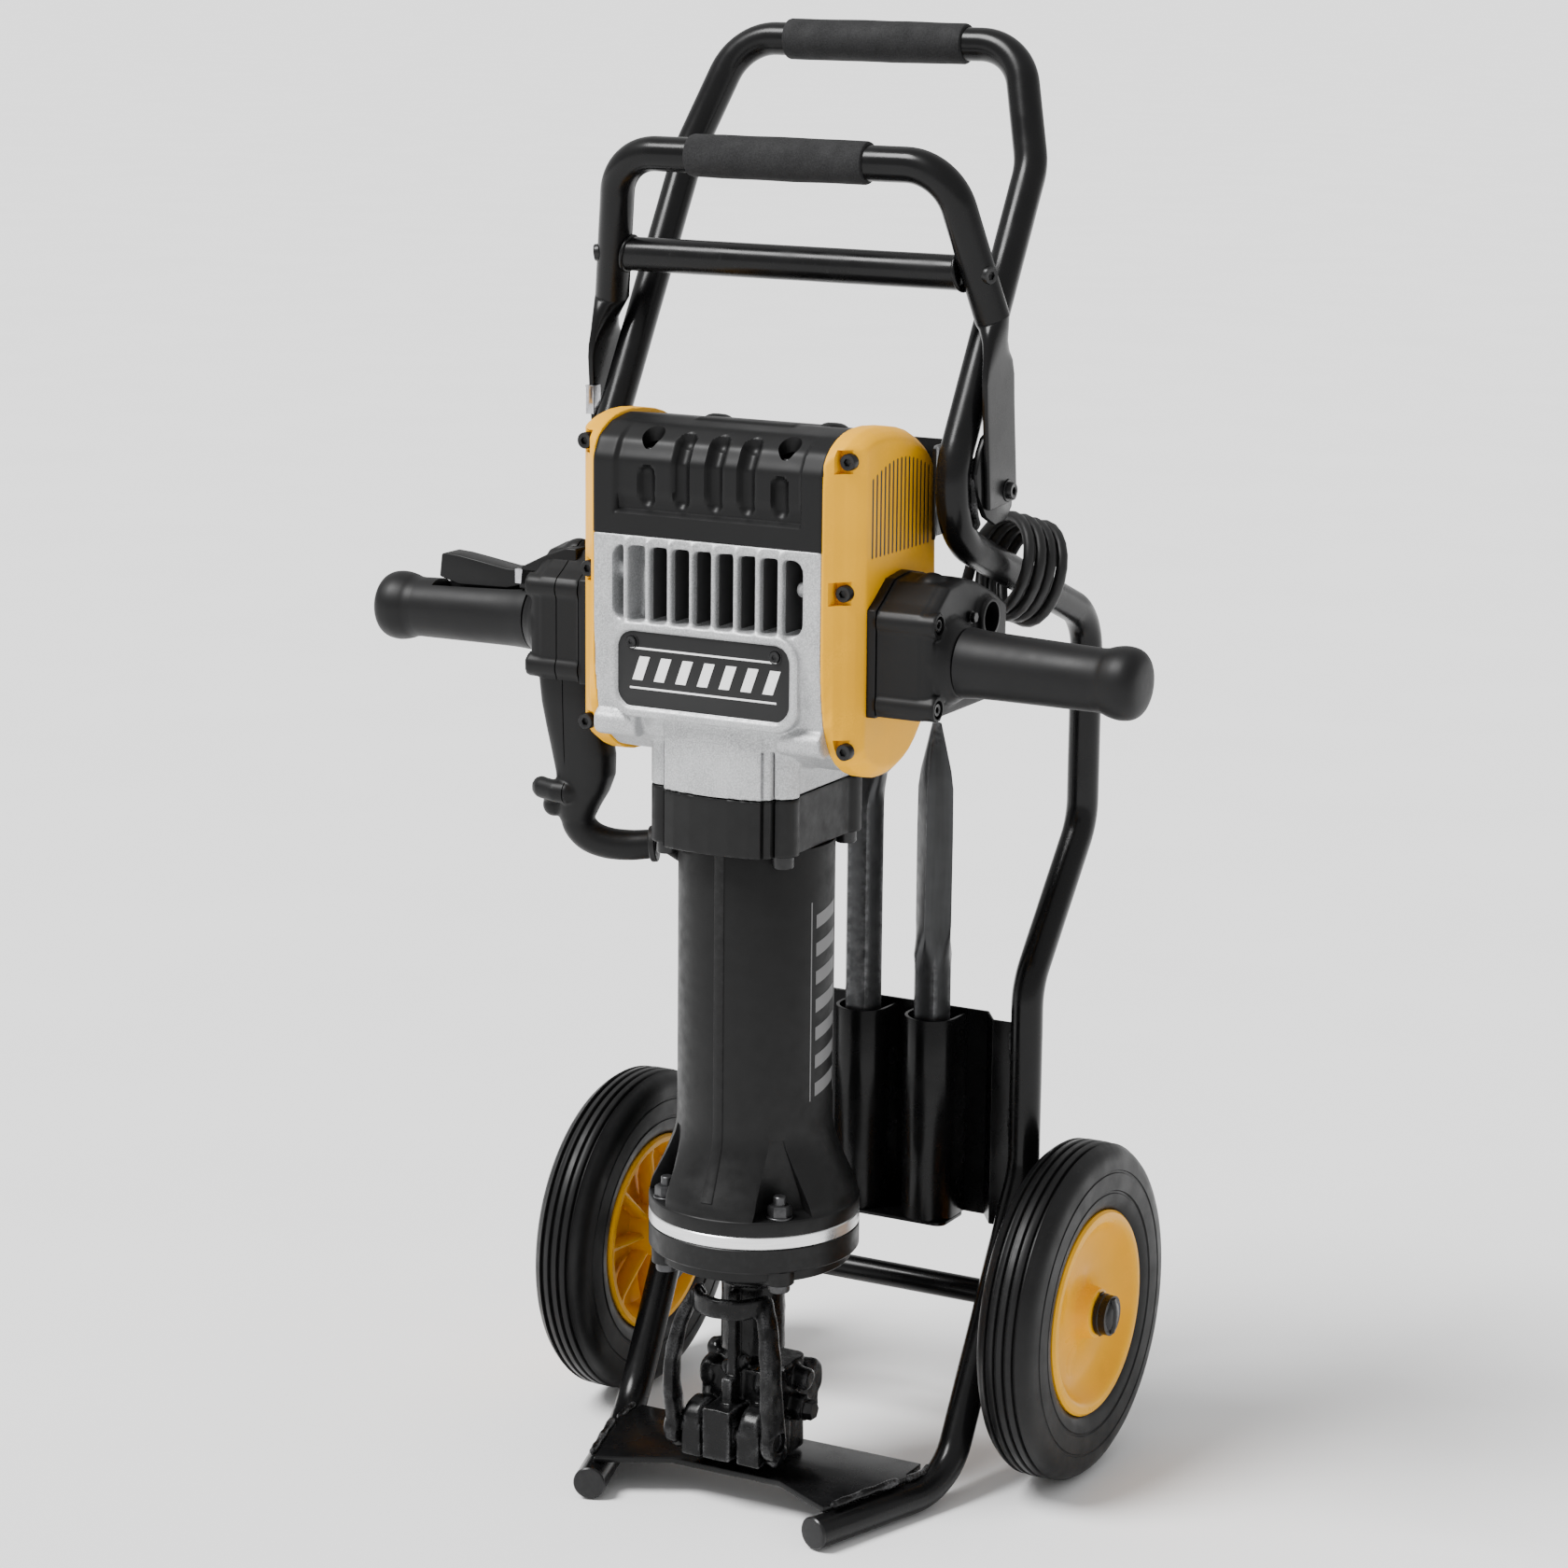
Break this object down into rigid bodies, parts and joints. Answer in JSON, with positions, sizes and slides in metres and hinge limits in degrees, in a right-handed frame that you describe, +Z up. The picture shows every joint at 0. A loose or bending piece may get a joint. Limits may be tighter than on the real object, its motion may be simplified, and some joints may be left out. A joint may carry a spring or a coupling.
{
  "type": "demolition hammer on a trolley",
  "caption": "Electric demolition hammer with side grips, standing on a two-wheeled black tube trolley with a swing hoop and stowed chisels.",
  "frame": {"origin": "on the floor, under the centre of the object's box without its cord", "axes": "+Z up, hammer's front and nameplate face -Y, +X to the viewer's right facing the front"},
  "size_m": [0.652, 0.3843, 1.1345],
  "materials": {
    "cast_aluminium": "grainy as-cast, satin",
    "black_housing": "fine moulded grain",
    "yellow_cover": "semi-gloss moulded",
    "black_casting": "satin painted casting",
    "machined_ring": "turned, bright",
    "grip_rubber": "matte",
    "cord_rubber": "matte",
    "frame_paint": "gloss powder coat",
    "foam": "closed-cell foam sleeve",
    "tyre_rubber": "matte rubber",
    "yellow_rim": "gloss moulded",
    "chisel_steel": "dark forged",
    "steel": "machined",
    "black_fastener": "black oxide",
    "nose_casting": "gloss black over a rough casting",
    "windings": "enamelled copper",
    "nameplate": "satin"
  },
  "bodies": {
    "trolley": {"frame_tube_left": "frame_paint", "frame_tube_right": "frame_paint", "foot_plate": "frame_paint", "tube_caps": "frame_paint", "axle": "frame_paint", "axle_brackets": "frame_paint", "axle_caps": "black_fastener", "chisel_holder": "frame_paint", "pivot_brackets": "frame_paint", "back_rest": "frame_paint", "rear_grip": "foam", "cord_run": "cord_rubber", "cord_coil": "cord_rubber", "cord_plug": "cord_rubber"},
    "hammer": {"housing_casting": "cast_aluminium", "top_cover": "black_housing", "cover_left": "yellow_cover", "cover_right": "yellow_cover", "nameplate": "nameplate", "housing_screws": "black_fastener", "gearbox_collar": "black_casting", "collar_bolts": "black_fastener", "barrel": "black_casting", "flange_ring": "machined_ring", "nose_flange": "black_casting", "flange_bolts": "black_fastener", "nose_block": "nose_casting", "latch_pin": "steel", "tool_sleeve": "steel", "handle_box_left": "black_housing", "handle_box_right": "black_housing", "grip_left": "grip_rubber", "grip_right": "grip_rubber", "trigger_pin": "steel", "power_switch": "black_housing", "cord_boot": "cord_rubber", "field_stator": "windings", "ball_bearings": "steel", "brush_holders": "windings", "cylinder_tube": "steel"},
    "trigger_lever": {"trigger": "black_housing"},
    "tool_latch": {"retainer_latch": "nose_casting"},
    "motor_rotor": {"armature": "windings"},
    "crankshaft": {"crank_gear": "steel"},
    "piston_unit": {"piston": "steel", "wrist_pin": "steel"},
    "rod_unit": {"con_rod": "steel"},
    "free_ram": {"ram": "steel"},
    "anvil": {"beat_piece": "steel"},
    "front_hoop": {"hoop_tube": "frame_paint", "hoop_straps": "frame_paint", "hoop_cross_tube": "frame_paint", "hoop_grip": "foam", "hoop_bolts": "black_fastener"},
    "wheel_left": {"tyre_left": "tyre_rubber", "rim_left": "yellow_rim"},
    "wheel_right": {"tyre_right": "tyre_rubber", "rim_right": "yellow_rim"},
    "stowed_bull_point": {"bull_point": "chisel_steel"},
    "stowed_flat_chisel": {"flat_chisel": "chisel_steel"}
  },
  "joints": [
    {"name": "hammer_lift_off", "type": "slide", "parent": "trolley", "child": "hammer", "axis": [0, -0.9, 0.4359], "range_m": [0, 0.35]},
    {"name": "trigger_press", "type": "hinge", "parent": "hammer", "child": "trigger_lever", "pos_m": [-0.189, -0.122, 0.715], "axis": [0, -1, 0], "range_deg": [0, 8], "stiffness_Nm_per_rad": 0.5, "springref_deg": -8.02},
    {"name": "latch_swing", "type": "hinge", "parent": "hammer", "child": "tool_latch", "pos_m": [0, -0.148, 0.062], "axis": [1, 0, 0], "range_deg": [0, 80]},
    {"name": "crank_spin", "type": "hinge", "parent": "hammer", "child": "crankshaft", "pos_m": [0, -0.104, 0.69], "axis": [1, 0, 0], "continuous": true},
    {"name": "rotor_spin", "type": "hinge", "parent": "hammer", "child": "motor_rotor", "pos_m": [0, -0.104, 0.75625], "axis": [1, 0, 0], "continuous": true},
    {"name": "piston_slide", "type": "slide", "parent": "hammer", "child": "piston_unit", "axis": [0, 0, 1], "range_m": [0, 0.032]},
    {"name": "rod_swing", "type": "hinge", "parent": "piston_unit", "child": "rod_unit", "pos_m": [0, -0.104, 0.612], "axis": [1, 0, 0], "range_deg": [-12, 12]},
    {"name": "ram_slide", "type": "slide", "parent": "hammer", "child": "free_ram", "axis": [0, 0, 1], "range_m": [0, 0.07]},
    {"name": "anvil_slide", "type": "slide", "parent": "hammer", "child": "anvil", "axis": [0, 0, 1], "range_m": [0, 0.008]},
    {"name": "hoop_swing", "type": "hinge", "parent": "trolley", "child": "front_hoop", "pos_m": [0, -0.0305, 0.798], "axis": [-1, 0, 0], "range_deg": [-56, 2.5]},
    {"name": "wheel_left_spin", "type": "hinge", "parent": "trolley", "child": "wheel_left", "pos_m": [-0.2, 0.057, 0.135], "axis": [1, 0, 0], "continuous": true},
    {"name": "wheel_right_spin", "type": "hinge", "parent": "trolley", "child": "wheel_right", "pos_m": [0.2, 0.057, 0.135], "axis": [1, 0, 0], "continuous": true},
    {"name": "bull_point_lift", "type": "slide", "parent": "trolley", "child": "stowed_bull_point", "axis": [0, 0, 1], "range_m": [0, 0.19]},
    {"name": "flat_chisel_lift", "type": "slide", "parent": "trolley", "child": "stowed_flat_chisel", "axis": [0, 0, 1], "range_m": [0, 0.19]}
  ],
  "couplings": [
    {"joint": "rotor_spin", "follows": "crank_spin", "ratio": -3.8182}
  ]
}
